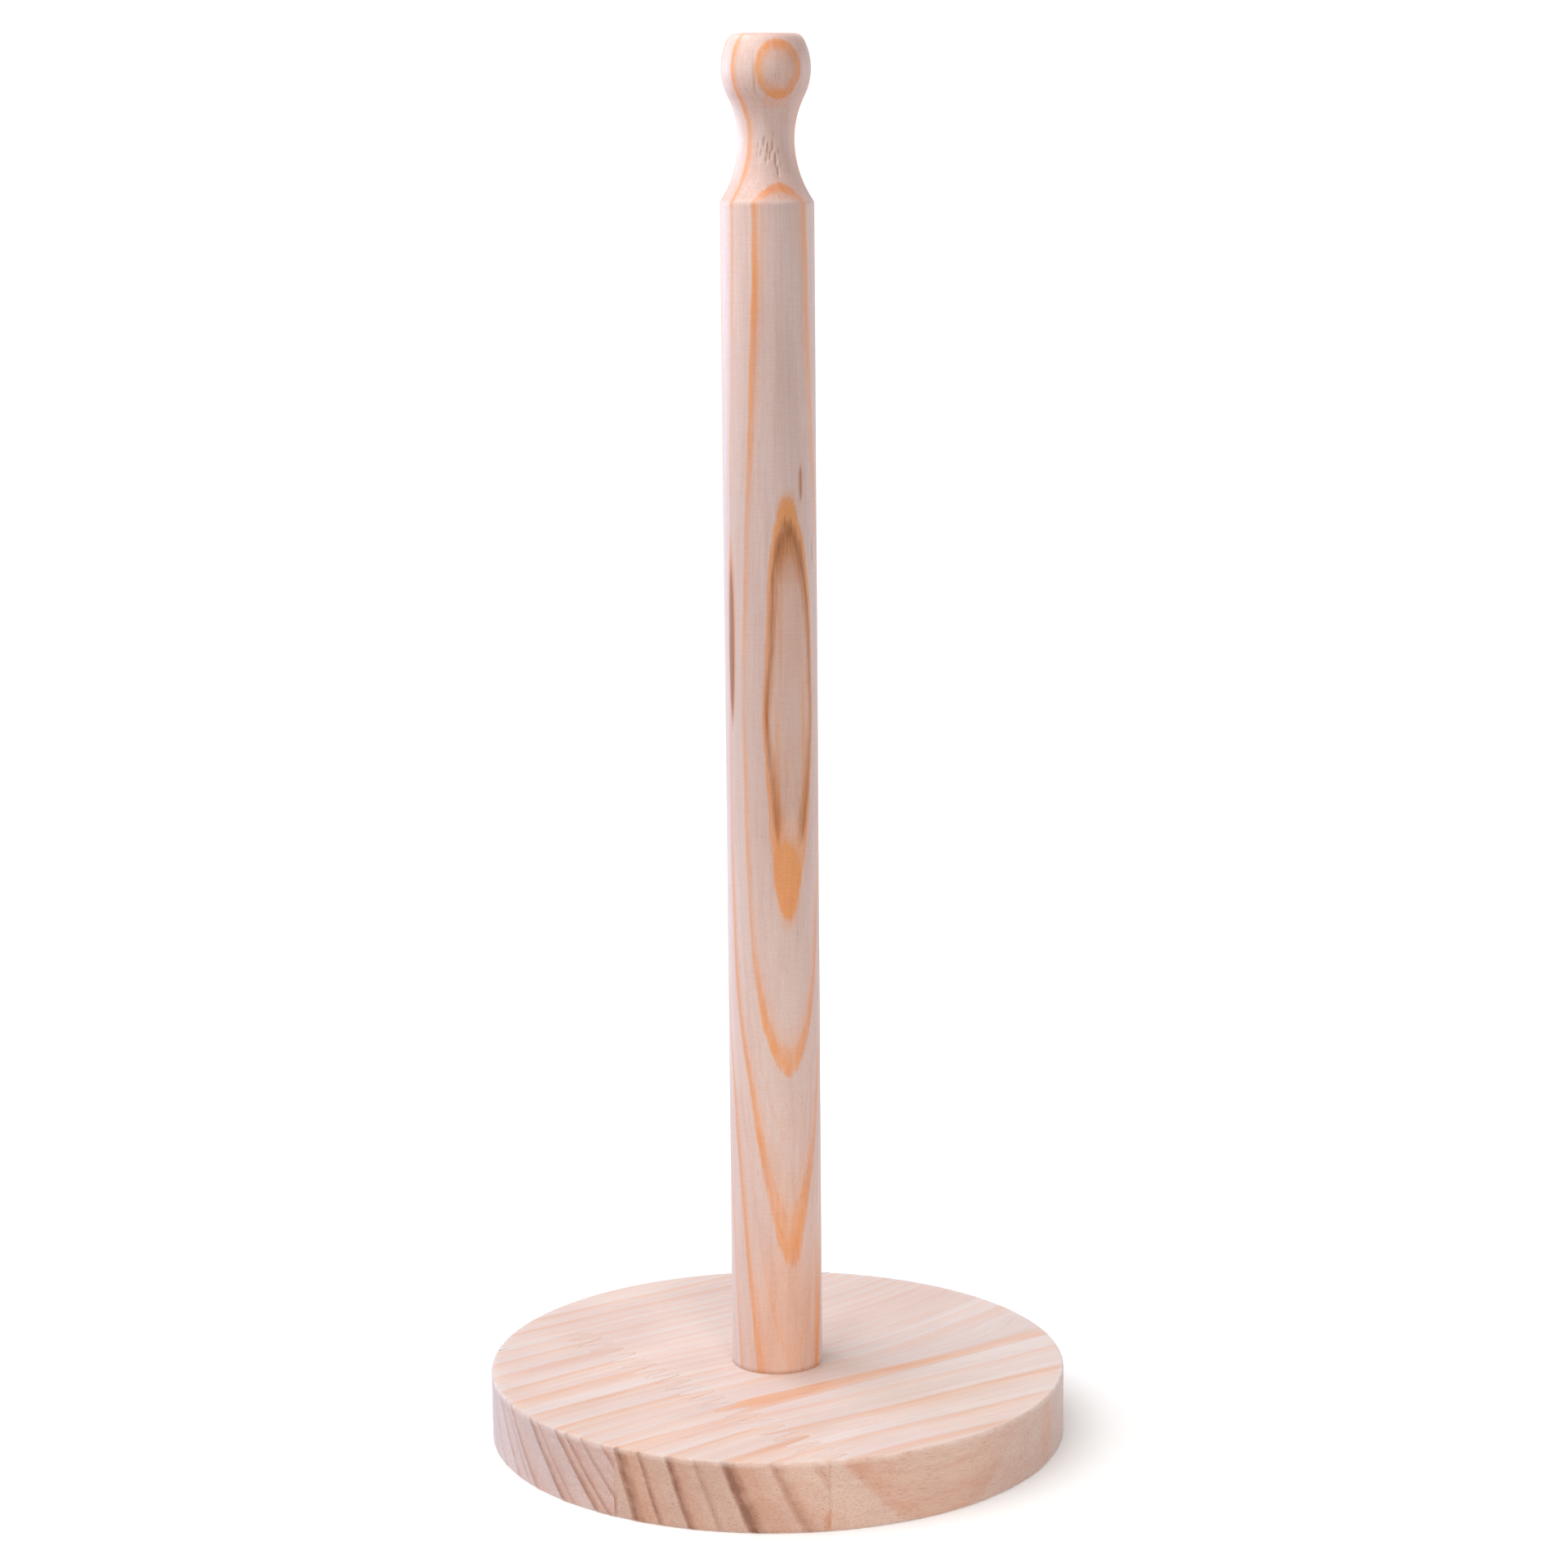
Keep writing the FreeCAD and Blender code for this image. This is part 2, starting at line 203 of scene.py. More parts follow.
def ringMask(tree, depth, rings, lead):
    # several ramps share the rings; red is amber, green is brown
    rings = sorted(rings)
    mask = None
    each = ringRamp["ringsEach"]
    for start in range(0, len(rings), each):
        stops = ringStops(rings[start:start + each], lead)
        low = stops[0][0] - ringRamp["margin"]
        high = stops[-1][0] + ringRamp["margin"]
        ramp = addNode(tree, "ShaderNodeValToRGB", {"Fac": spread(tree, depth, low, high)})
        ramp.color_ramp.interpolation = "EASE"
        elements = ramp.color_ramp.elements
        elements[0].color = (0, 0, 0, 1)
        elements[1].color = (0, 0, 0, 1)
        for place, amber, brown in stops:
            element = elements.new((place - low) / (high - low))
            element.color = (amber, brown, 0, 1)
        if mask is None:
            mask = ramp.outputs[0]
        else:
            mask = addNode(tree, "ShaderNodeVectorMath", {0: mask, 1: ramp.outputs[0]},
                           operation="MAXIMUM").outputs[0]
    parts = addNode(tree, "ShaderNodeSeparateXYZ", {0: mask}).outputs
    return parts[0], parts[1]


# shader groups shared by all the wood; their grain is (along, ring depth, third way) in mm

# noise in the wood: repeats per mm each way, shift, detail, roughness
woodNoise = {
    "slow": ((0.02, 0.12, 0.12), (0, 0, 0), 1.0, 0.55),
    "quick": ((0.12, 1.6, 1.6), (0, 0, 0), 3.0, 0.65),
    "patchy": ((0.035, 0.35, 0.35), (3, 9, 21), 3.0, 0.6),
    "hair": ((0.14, 3.6, 3.6), (0, 0, 0), 4.0, 0.7),
    "line": ((0.014, 0.7, 0.7), (0, 0, 0), 3.0, 0.6),
    "speck": ((1.6, 2.6, 2.6), (0, 0, 0), 3.0, 0.8),
    "cloud": ((0.02, 0.05, 0.05), (7, 3, 5), 2.0, 0.55),
    "tint": ((0.015, 0.13, 0.13), (31, 17, 3), 3.0, 0.55),
    "pores": ((0.3, 4.2, 4.2), (0, 0, 0), 3.0, 0.8),
}

woodTones = {
    "hair": rgb(228, 212, 202), "line": rgb(236, 210, 194), "speck": rgb(232, 218, 210),
    "tint": rgb(246, 232, 230), "canal": rgb(178, 136, 116), "pores": rgb(198, 168, 152),
    "toolMark": rgb(232, 218, 212),
}

resinCanals = {
    "cells": (0.12, 1.25, 1.25),       # repeats per mm
    "fade": (0.17, 0.09),              # distance from a cell's middle, plain to full
    "chosen": (0.13, 0.1),             # only the cells whose own number is this low
    "onSideGrain": 0.28,
}


def woodPattern(tree, grain, name):
    scale, shift, detail, roughness = woodNoise[name]
    return noise(tree, stretch(tree, grain, scale, shift), detail=detail, roughness=roughness)


def buildRingWobble():
    group, given, result = newGroup(
        "ringWobble", [("Grain", "Vector"), ("Wander", "Float", 0.25), ("Rag", "Float", 0.12)],
        [("Depth", "Float"), ("Strength", "Float")])
    grain = given["Grain"]
    depth = addNode(group, "ShaderNodeSeparateXYZ", {0: grain}).outputs[1]
    wander, rag = (
        times(group, calc(group, "SUBTRACT", woodPattern(group, grain, kind), 0.5), amount)
        for kind, amount in (("slow", given["Wander"]), ("quick", given["Rag"])))
    depth = calc(group, "ADD", depth, calc(group, "ADD", wander, rag))
    group.links.new(depth, result["Depth"])
    # rings are stronger in some stretches than in others
    patchy = woodPattern(group, grain, "patchy")
    group.links.new(spread(group, patchy, 0.35, 0.62, 0.62, 1.0), result["Strength"])
    return group


def buildFibre():
    group, given, result = newGroup(
        "fibre",
        [("Color", "Color"), ("Grain", "Vector"), ("End Grain", "Float", 0.0),
         ("Late Wood", "Float", 0.0), ("Streak", "Float", 0.5), ("Blotch", "Float", 0.5),
         ("Cloud", "Color", (0.9, 0.8, 0.7, 1)), ("End Tint", "Color", (0.8, 0.6, 0.5, 1))],
        [("Color", "Color"), ("Roughness", "Float"), ("Height", "Float")])
    color, grain, ends, late, streak, blotch, cloudTone, endTone = list(given)[:8]
    # fine tracheid lines, broader lines, specks, and slow changes of tone
    hair = woodPattern(group, grain, "hair")
    for pattern, low, high, amount, tone in (
            (hair, 0.3, 0.75, streak, woodTones["hair"]),
            (woodPattern(group, grain, "line"), 0.42, 0.75, streak, woodTones["line"]),
            (woodPattern(group, grain, "speck"), 0.4, 0.75, streak, woodTones["speck"]),
            (woodPattern(group, grain, "cloud"), 0.4, 0.65, blotch, cloudTone),
            (woodPattern(group, grain, "tint"), 0.42, 0.7, blotch, woodTones["tint"])):
        color = shade(group, color, tone, spread(group, pattern, low, high), amount)
    # resin canals: short brown dashes along the grain, dots on the end grain
    cells = addNode(group, "ShaderNodeTexVoronoi", {
        "Vector": stretch(group, grain, resinCanals["cells"]), "Scale": 1.0, "Randomness": 1.0})
    number = addNode(group, "ShaderNodeSeparateColor", {0: cells.outputs["Color"]}).outputs[0]
    dash = times(group, spread(group, cells.outputs["Distance"], *resinCanals["fade"]),
                 spread(group, number, *resinCanals["chosen"]),
                 spread(group, ends, 0.0, 1.0, resinCanals["onSideGrain"], 1.0))
    color = shade(group, color, woodTones["canal"], dash)
    # cut ends soak up more light than side grain, and show their pores
    pores = woodPattern(group, grain, "pores")
    color = shade(group, color, endTone, ends)
    color = shade(group, color, woodTones["pores"], ends, spread(group, pores, 0.5, 0.72))
    group.links.new(color, result["Color"])
    # late wood is smoother, cut ends are rougher
    rough = spread(group, hair, 0.3, 0.7, 0.44, 0.58)
    rough = calc(group, "SUBTRACT", rough, times(group, late, 0.1))
    rough = calc(group, "ADD", rough, times(group, ends, 0.1))
    group.links.new(rough, result["Roughness"])
    # late wood stands proud; fibres, canals and pores are sunk
    height = calc(group, "ADD", times(group, hair, -0.5), times(group, late, 0.4))
    height = calc(group, "SUBTRACT", height, dash)
    height = calc(group, "SUBTRACT", height, times(group, pores, ends, 1.4))
    group.links.new(height, result["Height"])
    return group


def buildToolMarks():
    # marks of turning and sanding: broken level scratches round the piece
    group, given, result = newGroup(
        "toolMarks",
        [("Color", "Color"), ("Height", "Float", 0.0), ("Place", "Vector"),
         ("Amount", "Float", 0.5), ("Fineness", "Float", 4000.0)],
        [("Color", "Color"), ("Height", "Float")])
    x, y, z = addNode(group, "ShaderNodeSeparateXYZ", {0: given["Place"]}).outputs
    perMetre = 240.0                                  # breaks in a scratch, round the piece
    level = addNode(group, "ShaderNodeCombineXYZ", {
        0: times(group, x, perMetre), 1: times(group, y, perMetre),
        2: times(group, z, given["Fineness"])}).outputs[0]
    mark = noise(group, level, detail=3.0, roughness=0.7)
    amount = given["Amount"]
    color = shade(group, given["Color"], woodTones["toolMark"],
                  spread(group, mark, 0.35, 0.7), amount)
    height = calc(group, "ADD", given["Height"], times(group, mark, amount, 0.9))
    group.links.new(color, result["Color"])
    group.links.new(height, result["Height"])
    return group


def buildWear():
    # handled and eased edges are a little paler
    group, given, result = newGroup(
        "edgeWear",
        [("Color", "Color"), ("Edge", "Float", 0.0), ("Place", "Vector"),
         ("Amount", "Float", 0.5), ("Pale", "Color", (0.9, 0.8, 0.7, 1))],
        [("Color", "Color")])
    patch = noise(group, given["Place"], scale=260.0, detail=4.0, roughness=0.7)
    mask = times(group, given["Edge"], spread(group, patch, 0.3, 0.6), given["Amount"])
    color = blend(group, "MIX", mask, given["Color"], given["Pale"])
    group.links.new(color, result["Color"])
    return group


ringWobble = buildRingWobble()
fibre = buildFibre()
toolMarks = buildToolMarks()
edgeWear = buildWear()


def readAttribute(tree, name):
    return addNode(tree, "ShaderNodeAttribute", attribute_type="GEOMETRY",
                   attribute_name=name).outputs["Vector"]


# raw wood's soft shine, the same all over
rawWood = {
    "Specular IOR Level": 0.45, "Sheen Weight": 0.3, "Sheen Roughness": 0.4,
    "Sheen Tint": (0.78, 0.86, 1.0, 1.0),
}
bumpDepth = 0.05                                      # mm


def makeWood(name, look, rings):
    material, tree = newMaterial(name)

    def field(label):
        # the three numbers of one of the piece's own fields
        return addNode(tree, "ShaderNodeSeparateXYZ", {0: readAttribute(tree, label)}).outputs

    def group(kind, feeds):
        return addNode(tree, "ShaderNodeGroup", feeds, node_tree=kind).outputs

    grain = readAttribute(tree, "grain")
    endGrain, edge, rim = field("marks")
    ringShow, warmth, stainAndShade = field("tones")
    place = tree.nodes.new("ShaderNodeTexCoord").outputs["Object"]
    wobble = group(ringWobble, {"Grain": grain, "Wander": look["wander"], "Rag": look["rag"]})
    amber, brown = ringMask(tree, wobble["Depth"], rings, look["lead"])
    ringShow = times(tree, ringShow, wobble["Strength"])
    amber = times(tree, amber, ringShow, spread(tree, endGrain, 0.0, 0.6, 1.0, look["endAmber"]))
    amber = calc(tree, "ADD", amber, warmth, clamp=True)
    brown = times(tree, brown, ringShow, spread(tree, endGrain, 0.0, 0.6, look["faceBrown"], 1.0))
    # this tone is stain, and on the post also painted shade: the contact shadow at its foot and the
    # shade in its torn pits
    brown = calc(tree, "ADD", brown, stainAndShade, clamp=True)
    color = blend(tree, "MIX", amber, look["early"], look["amber"])
    color = blend(tree, "MIX", brown, color, look["brown"])
    wood = group(fibre, {
        "Color": color, "Grain": grain, "End Grain": endGrain, "Late Wood": amber,
        "Streak": look["streak"], "Blotch": look["blotch"], "Cloud": look["cloud"],
        "End Tint": look["endTint"]})
    turned = group(toolMarks, {
        "Color": wood["Color"], "Height": wood["Height"], "Place": place,
        "Amount": times(tree, rim, look["toolMarks"]), "Fineness": look["fineness"]})
    worn = group(edgeWear, {
        "Color": turned["Color"], "Edge": edge, "Place": place,
        "Amount": look["wear"], "Pale": look["early"]})
    bump = addNode(tree, "ShaderNodeBump", {
        "Height": turned["Height"], "Strength": look["bump"], "Distance": bumpDepth * mm})
    shader = addNode(tree, "ShaderNodeBsdfPrincipled", {
        "Base Color": worn["Color"], "Roughness": wood["Roughness"], "Normal": bump.outputs[0],
        **rawWood})
    addNode(tree, "ShaderNodeOutputMaterial", {"Surface": shader.outputs[0]})
    return material


# smooth fields that the wood reads: grain coordinates, surface marks, and tones

def storeFields(mesh, grain, marks, tones):
    for name, values in (("grain", grain), ("marks", marks), ("tones", tones)):
        layer = mesh.attributes.new(name, "FLOAT_VECTOR", "POINT")
        layer.data.foreach_set("vector", np.ascontiguousarray(values, np.float32).ravel())


def meshPoints(mesh):
    points = np.empty(len(mesh.vertices) * 3, np.float32)
    mesh.vertices.foreach_get("co", points)
    return points.reshape(-1, 3).astype(float) / mm


def meshNormals(mesh):
    normals = np.empty(len(mesh.vertices) * 3, np.float32)
    mesh.vertices.foreach_get("normal", normals)
    return normals.reshape(-1, 3).astype(float)


def movePoints(mesh, points):
    mesh.vertices.foreach_set("co", (points * mm).astype(np.float32).ravel())
    mesh.update()


def smoothStep(value, low, high):
    share = np.clip((value - low) / (high - low), 0, 1)
    return share * share * (3 - 2 * share)


def between(value, rise, fall):
    # up from 0 to 1 over the rise, and back to 0 over the fall
    return smoothStep(value, *rise) * (1 - smoothStep(value, *fall))


def nearEdge(distance, width):
    # 1 on an edge, 0 from this width away
    return np.clip(1 - np.abs(distance) / width, 0, 1)


def softSpot(first, second, halfFirst, halfSecond):
    # 1 well inside an oval, 0 well outside it
    solid, gone = 0.55, 1.25
    return 1 - smoothStep(np.hypot(first / halfFirst, second / halfSecond), solid, gone)


def ringWander(along, across, waves):
    # small waves in the rings, each (height, length along, length across, start) in mm
    return sum(height * np.sin(along / longWay + across / crossWay + start)
               for height, longWay, crossWay, start in waves)


def blankTones(points):
    # ring show, warmth, and stain with painted shade, of plain wood
    return np.ones(len(points)), np.zeros(len(points)), np.zeros(len(points))


def addPiece(mesh, name, material, slot, *nodes):
    piece = newObject(name, mesh)
    mesh.materials.clear()
    mesh.materials.append(material)
    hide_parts(*nodes)
    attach(piece, "root")
    return piece


# the base: five staves of a finger-jointed panel

# lengths are in mm and angles in degrees
board = {
    "grainAngle": 36.0,
    "cellAcross": 0.5,         # spacing of the grid
    "cellAlong": 3.0,
    "cellUp": 1.4,
    "seamEase": 0.06,          # bevel of every glued edge, seen as a hairline groove
    "creaseAngle": 60.0,       # sharper edges of a face get that bevel
    "arris": 0.5,              # rounding of the rim's two edges
    "facetDepth": 0.12,        # the CAD rim's flats lie at most this far inside its circle
    "relief": 0.035,           # soft early wood stands this much lower than late wood
    "rimRelief": 1.6,          # times more on the rim
    "rimReach": 0.6,           # how far in the rim's look goes
    "faceReach": 0.15,         # and how far down the two faces' relief goes
    "endFade": (0.5, 0.15),    # the rim's end grain fades in between these depths
    "rimFade": (0.5, 0.1),     # and its tool marks between these
    "wornArris": (0.2, 0.9),   # middle and width of the paler edge, from the arris
    "postGap": 0.5,            # no relief this close to the post
    "tipGap": (0.03, 0.12),    # glue-starved gaps at some finger tips
    "tipShare": 0.16,          # share of the tips with a gap
    "tipWidest": 1.4,          # only narrower faces count as tips
    "tipFarthest": 45.0,       # and only this near to the middle
    "sharpAngle": 28.0,
    "grainShift": 40.0,        # where the pattern starts below the underside
    "seed": 11,
    "waves": [(0.45, 19, 31, 1.3), (0.22, 8.5, 9, 0)],
    "bendFrom": 8.0,           # rings bend from here on along the grain
    "bendDepths": (-21, -6),   # and only past these ring depths
    "rimBoost": 0.7,           # cut ends show their rings more strongly
    "boostSpan": ((60, 84), (124, 170)),              # degrees clockwise from the right
    "arcFade": 0.7,            # the arc on the front right of the rim fades as it climbs
    "arcSpan": ((-52, -36), (-10, 0)),
    "bandFade": 0.35,          # the wide amber band in front of the post fades to the right
    "bandSpan": ((-27, -25), (-18, -15)),
    "bandFadeAlong": (15, 50),
}
grainTurn = math.radians(board["grainAngle"])
grainWay = Vector((math.cos(grainTurn), math.sin(grainTurn), 0))
acrossWay = Vector((-math.sin(grainTurn), math.cos(grainTurn), 0))

# slope: ring lines against the row; lean: how far a ring moves across per mm of height
# bend: how fast the rings past the wide amber band curve away
staves = {
    "base_stave_front_left": {
        "piece": "staveFrontLeft", "slope": -0.052, "lean": -0.30, "bend": 0.0,
        "rings": [
            (-60, 2.5, 0.35, 0.2), (-54, 2.8, 0.5, 0.35), (-46.5, 3.5, 0.75, 0.8),
            (-40.5, 1.9, 0.2, 0.25), (-35, 2.5, 0.6, 0.6), (-28.5, 1.9, 0.5, 0.5),
            (-23.6, 4.1, 0.8, 0.6)]},
    "base_stave_front_right": {
        "piece": "staveFrontRight", "slope": 0.044, "lean": -0.27, "bend": 0.0,
        "rings": [
            (-78, 2.0, 0.51, 0.1), (-72, 2.0, 0.51, 0.1), (-66.3, 2.4, 0.64, 0.1),
            (-61, 1.6, 0.19, 0.0), (-56, 2.7, 0.54, 0.05), (-49, 1.6, 0.19, 0.0),
            (-43.2, 3.0, 0.71, 0.05), (-37, 1.6, 0.19, 0.0), (-31.3, 2.0, 0.44, 0.0)]},
    "base_stave_middle_left": {
        "piece": "staveMiddleLeft", "slope": -0.052, "lean": -0.79, "bend": 0.0,
        # this stave's rim faces left: its paler, cooler end tint is partly its own wood and partly
        # painted cool light and reflection from the left
        "look": {"endTint": rgb(230, 224, 227)},
        "rings": [
            (-26, 2.6, 0.54, 0.3), (-19, 2.6, 0.47, 0.3), (-13, 2.0, 0.41, 0.3),
            (-8, 2.0, 0.61, 0.4), (-4.8, 2.7, 0.68, 0.5), (2.4, 1.6, 0.47, 0.3),
            (5.6, 2.7, 0.74, 0.5), (15.8, 3.0, 0.74, 0.4), (19.2, 1.6, 0.34, 0.3),
            (24.3, 2.6, 0.61, 0.4), (32.8, 2.7, 0.61, 0.3), (40.8, 2.7, 0.54, 0.3),
            (47.8, 2.4, 0.47, 0.3)]},
    "base_stave_middle_right": {
        "piece": "staveMiddleRight", "slope": 0.044, "lean": -0.5, "bend": 0.0027,
        "rings": [
            (-23.9, 0.6, 0.2, 0.3), (-21.6, 5.2, 1.0, 0.05), (-9.5, 2.2, 0.45, 0.0),
            (-3.5, 1.4, 0.33, 0.0), (2.3, 1.7, 0.42, 0.0), (6.0, 1.4, 0.33, 0.0),
            (10.0, 1.7, 0.39, 0.0), (13.6, 1.4, 0.36, 0.0), (17.2, 1.7, 0.39, 0.0),
            (21.0, 1.4, 0.39, 0.0), (25.0, 1.7, 0.38, 0.0), (29.0, 1.4, 0.39, 0.0),
            (33.5, 1.7, 0.39, 0.0), (38, 1.4, 0.39, 0.0), (42, 1.8, 0.45, 0.0),
            (46, 1.4, 0.39, 0.0)]},
    "base_stave_back": {
        "piece": "staveBack", "slope": 0.03, "lean": -0.4, "bend": 0.0,
        "rings": [
            (50, 1.4, 0.38, 0.0), (54.5, 1.9, 0.6, 0.05), (57, 1.2, 0.22, 0.0),
            (61, 1.9, 0.63, 0.05), (65, 1.4, 0.38, 0.0), (69, 1.8, 0.52, 0.05)]},
}

# one-off marks on the top: (x, y, half length along the grain, half width, warmth, stain)
topMarks = [
    (6.5, -24.5, 0.5, 0.2, 0.0, 0.5),
    (-20.0, -52.0, 2.2, 0.35, 0.3, 0.1),
    (4.0, -26.0, 16.0, 1.4, 0.2, 0.0),
]

# one-off marks on the rim: (azimuth, height, half width, half height, warmth, stain)
rimMarks = [
    (-95.7, 10.5, 0.55, 0.7, 0.3, 0.8),
    (-122.3, 3.0, 0.35, 3.0, 0.3, 0.45),
    (-80.6, 2.5, 0.8, 2.4, 0.5, 0.1),
    (-24.0, 9.0, 3.6, 9.0, 0.3, 0.0),
    (-55.0, 11.0, 9.0, 0.35, 0.15, 0.05),
    (-50.0, 12.4, 6.0, 0.3, 0.15, 0.05),
    (-144.0, 9.0, 12.0, 9.0, 0.0, 0.07),
]

baseLook = {
    "early": rgb(222, 206, 199), "amber": rgb(224, 160, 108), "brown": rgb(152, 116, 98),
    "cloud": rgb(236, 226, 222), "endTint": rgb(221, 206, 196),
    "lead": 1.9, "faceBrown": 0.12, "endAmber": 0.5, "wander": 0.5, "rag": 0.35,
    "streak": 0.3, "blotch": 0.5,
    "toolMarks": 0.35, "fineness": 5000.0, "wear": 0.5, "bump": 0.45,
}


def alongAcross(vectors):
    # the panel's grain axes, turned about the post
    along = vectors[:, 0] * math.cos(grainTurn) + vectors[:, 1] * math.sin(grainTurn)
    across = -vectors[:, 0] * math.sin(grainTurn) + vectors[:, 1] * math.cos(grainTurn)
    return along, across


def staveDepth(points, stave):
    along, across = alongAcross(points)
    depth = across + stave["slope"] * along + stave["lean"] * (points[:, 2] - boardTop)
    far = np.clip(along - board["bendFrom"], 0, None)
    depth -= stave["bend"] * far ** 2 * smoothStep(depth, *board["bendDepths"])
    depth += ringWander(along, across, board["waves"])
    return along, depth


def openTips(bm, rng):
    # pull some fingers' blunt ends back a little, so the joint shows small gaps
    for face in [face for face in bm.faces if abs(face.normal.dot(grainWay)) > 0.999]:
        wide = max((a.co - b.co).xy.length for a in face.verts for b in face.verts)
        far = abs(face.calc_center_median().dot(grainWay))
        if wide > board["tipWidest"] * mm or far > board["tipFarthest"] * mm:
            continue
        if rng.random() > board["tipShare"]:
            continue
        gap = rng.uniform(*board["tipGap"])
        for vert in face.verts:
            vert.co -= face.normal * gap * mm


def staveTones(points, onRim):
    along, across = alongAcross(points)
    azimuth = np.degrees(np.arctan2(points[:, 1], points[:, 0]))
    onTop = points[:, 2] > boardTop - 1
    show, warmth, stainAndShade = blankTones(points)
    for x, y, halfLong, halfWide, warm, dark in topMarks:
        markAlong, markAcross = alongAcross(np.array([[x, y]]))
        spot = softSpot(along - markAlong, across - markAcross, halfLong, halfWide) * onTop
        warmth += warm * spot
        stainAndShade += dark * spot
    for angle, height, halfWide, halfTall, warm, dark in rimMarks:
        arc = np.radians(azimuth - angle) * baseRadius
        spot = softSpot(arc, points[:, 2] - height, halfWide, halfTall) * onRim
        warmth += warm * spot
        stainAndShade += dark * spot
    show += board["rimBoost"] * onRim * between(-azimuth, *board["boostSpan"])
    show -= board["arcFade"] * onRim * between(azimuth, *board["arcSpan"])
    band = between(across, *board["bandSpan"]) * smoothStep(along, *board["bandFadeAlong"])
    show -= board["bandFade"] * band * onTop
    return np.column_stack([show, warmth, stainAndShade])


def sliceGrid(bm):
    # cut the stave into small cells, so that relief and fields have points to sit on
    for way, cell in ((Vector((0, 0, 1)), board["cellUp"]), (grainWay, board["cellAlong"]),
                      (acrossWay, board["cellAcross"])):
        reach = [vert.co.dot(way) / mm for vert in bm.verts]
        for step in range(math.ceil(min(reach) / cell), math.floor(max(reach) / cell) + 1):
            bmesh.ops.bisect_plane(bm, geom=bm.verts[:] + bm.edges[:] + bm.faces[:], dist=1e-7,
                                   plane_co=way * step * cell * mm, plane_no=way)


def trueRim(points):
    # put the faceted rim back on its circle and round its two arrises
    tiny = 0.02
    arris = board["arris"]
    inner = baseRadius - arris
    radius = np.hypot(points[:, 0], points[:, 1])
    outer = radius > inner - tiny
    wall = (radius > baseRadius - board["facetDepth"]) & outer
    wall &= (points[:, 2] > arris) & (points[:, 2] < boardTop - arris)
    newRadius = np.where(wall, baseRadius, radius)
    height = points[:, 2].copy()
    for edgeHeight, sign in ((boardTop, 1), (0.0, -1)):
        centre = edgeHeight - sign * arris
        away = np.clip(radius - inner, 0, None)
        rise = np.clip((points[:, 2] - centre) * sign, 0, None)
        corner = outer & (away > tiny) & (rise > tiny)
        reach = np.maximum(np.hypot(away, rise), 1e-6)
        newRadius = np.where(corner, inner + away / reach * arris, newRadius)
        height = np.where(corner, centre + sign * rise / reach * arris, height)
    points[:, :2] *= (newRadius / np.maximum(radius, 1e-6))[:, None]
    points[:, 2] = height
    return points


def buildStave(node, stave, rng):
    bm = bmesh.new()
    bm.from_mesh(frame["nodes"][node].data)
    bmesh.ops.remove_doubles(bm, verts=bm.verts, dist=1e-6)
    bmesh.ops.dissolve_limit(bm, angle_limit=math.radians(0.3), verts=bm.verts, edges=bm.edges,
                             use_dissolve_boundaries=False)
    openTips(bm, rng)
    bm.normal_update()
    crease = math.radians(board["creaseAngle"])
    seams = [edge for edge in bm.edges
             if len(edge.link_faces) == 2 and edge.calc_face_angle(0) > crease
             and any(abs(face.normal.z) > 0.99 for face in edge.link_faces)]
    bmesh.ops.bevel(bm, geom=seams, offset=board["seamEase"] * mm, segments=1, profile=0.5,
                    affect="EDGES", clamp_overlap=True)
    sliceGrid(bm)
    mesh = bpy.data.meshes.new(stave["piece"])
    bm.to_mesh(mesh)
    bm.free()
    points = trueRim(meshPoints(mesh))
    movePoints(mesh, points)
    normals = meshNormals(mesh)
    along, depth = staveDepth(points, stave)
    # sink the early wood where it can be seen
    radius = np.hypot(points[:, 0], points[:, 1])
    faceReach = board["faceReach"]
    onRim = radius > baseRadius - board["rimReach"]
    onFace = (points[:, 2] > boardTop - faceReach) | (points[:, 2] < faceReach)
    seen = (onRim | onFace) & (radius > shaftRadius + board["postGap"])
    early = 1 - np.clip(lateWood(depth, stave["rings"], baseLook["lead"]), 0, 1)
    sink = board["relief"] * early * np.where(onRim, board["rimRelief"], 1.0)
    points -= normals * (sink * seen)[:, None]
    movePoints(mesh, points)
    # the rim is half end grain where it runs with the row, and all end grain across it
    endFade, rimFade = (smoothStep(radius, baseRadius - deep, baseRadius - shallow)
                        for deep, shallow in (board["endFade"], board["rimFade"]))
    endGrain = (0.5 + 0.5 * np.abs(alongAcross(normals)[0])) * endFade
    rimSide = rimFade * (1 - np.abs(normals[:, 2]))
    wornAt, wornWidth = board["wornArris"]
    edge = nearEdge(np.hypot(radius - baseRadius, points[:, 2] - boardTop) - wornAt, wornWidth)
    storeFields(mesh, np.column_stack([along, depth, points[:, 2] + board["grainShift"]]),
                np.column_stack([endGrain, edge, rimSide]), staveTones(points, onRim))
    mesh.shade_smooth()
    mesh.set_sharp_from_angle(angle=math.radians(board["sharpAngle"]))
    look = {**baseLook, **stave.get("look", {})}
    material = makeWood("pine_" + stave["piece"], look, stave["rings"])
    print(stave["piece"], len(mesh.polygons), "faces")
    return addPiece(mesh, stave["piece"], material, "base_pine", node)


staveDraw = np.random.default_rng(board["seed"])
for staveNode, staveShape in staves.items():
    buildStave(staveNode, staveShape, staveDraw)
print("base ready")


# the post: turned from one blank; lengths are in mm and angles in degrees

